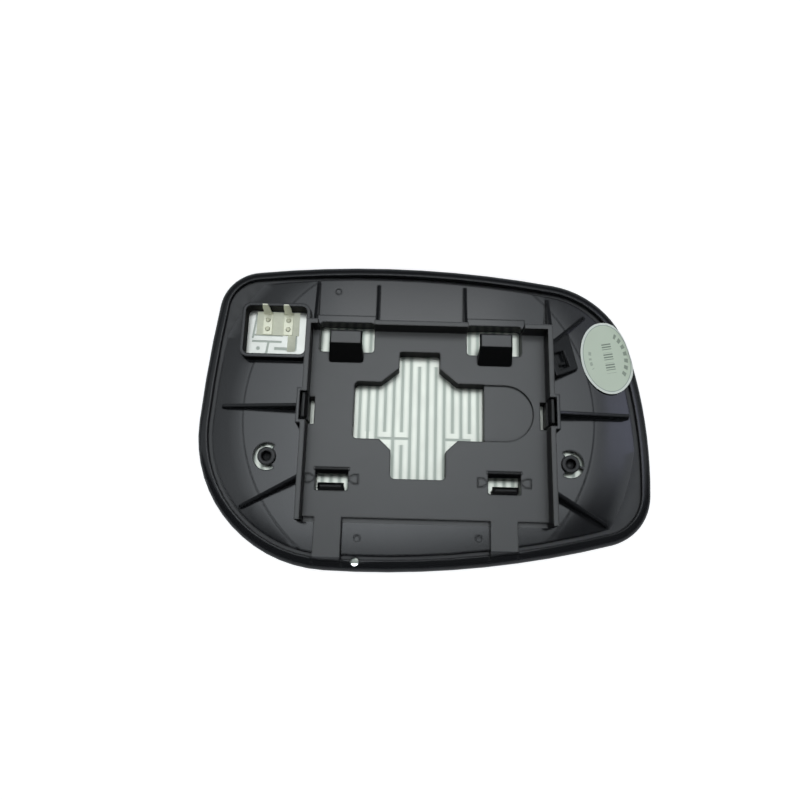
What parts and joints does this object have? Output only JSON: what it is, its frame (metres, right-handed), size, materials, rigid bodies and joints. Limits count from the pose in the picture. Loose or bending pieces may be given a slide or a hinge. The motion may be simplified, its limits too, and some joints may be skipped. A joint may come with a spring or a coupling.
{
  "type": "car door mirror glass",
  "caption": "Heated convex mirror glass for a car door mirror, on a moulded black backing plate with hooks and clips for the mirror motor and spade terminals for the heater.",
  "frame": {"origin": "middle of the outline's box in X and Y, at the lowest point of the mirror face, which lies face down", "axes": "+X along the mirror towards its outer end in the picture, +Y towards its long upper edge, +Z out of the back of the plate"},
  "size_m": [0.1732, 0.1208, 0.0163],
  "materials": {
    "mirror_glass": "silvered glass, polished",
    "heater_film": "thin translucent film",
    "heater_track": "etched foil, satin",
    "backing_plate": "moulded black, fine satin grain",
    "terminal_patch": "cream insulating sheet",
    "terminals": "tinned brass strip",
    "rivets": "small pressed rivet",
    "inspection_label": "pale green sticker, no print"
  },
  "bodies": {
    "root": {"mirror_glass": "mirror_glass", "heater_film": "heater_film", "heater_track": "heater_track", "backing_plate": "backing_plate", "terminal_patch": "terminal_patch", "terminal_left": "terminals", "terminal_right": "terminals", "rivet_left_upper": "rivets", "rivet_left_lower": "rivets", "rivet_right_upper": "rivets", "rivet_right_lower": "rivets", "inspection_label": "inspection_label"}
  },
  "joints": []
}
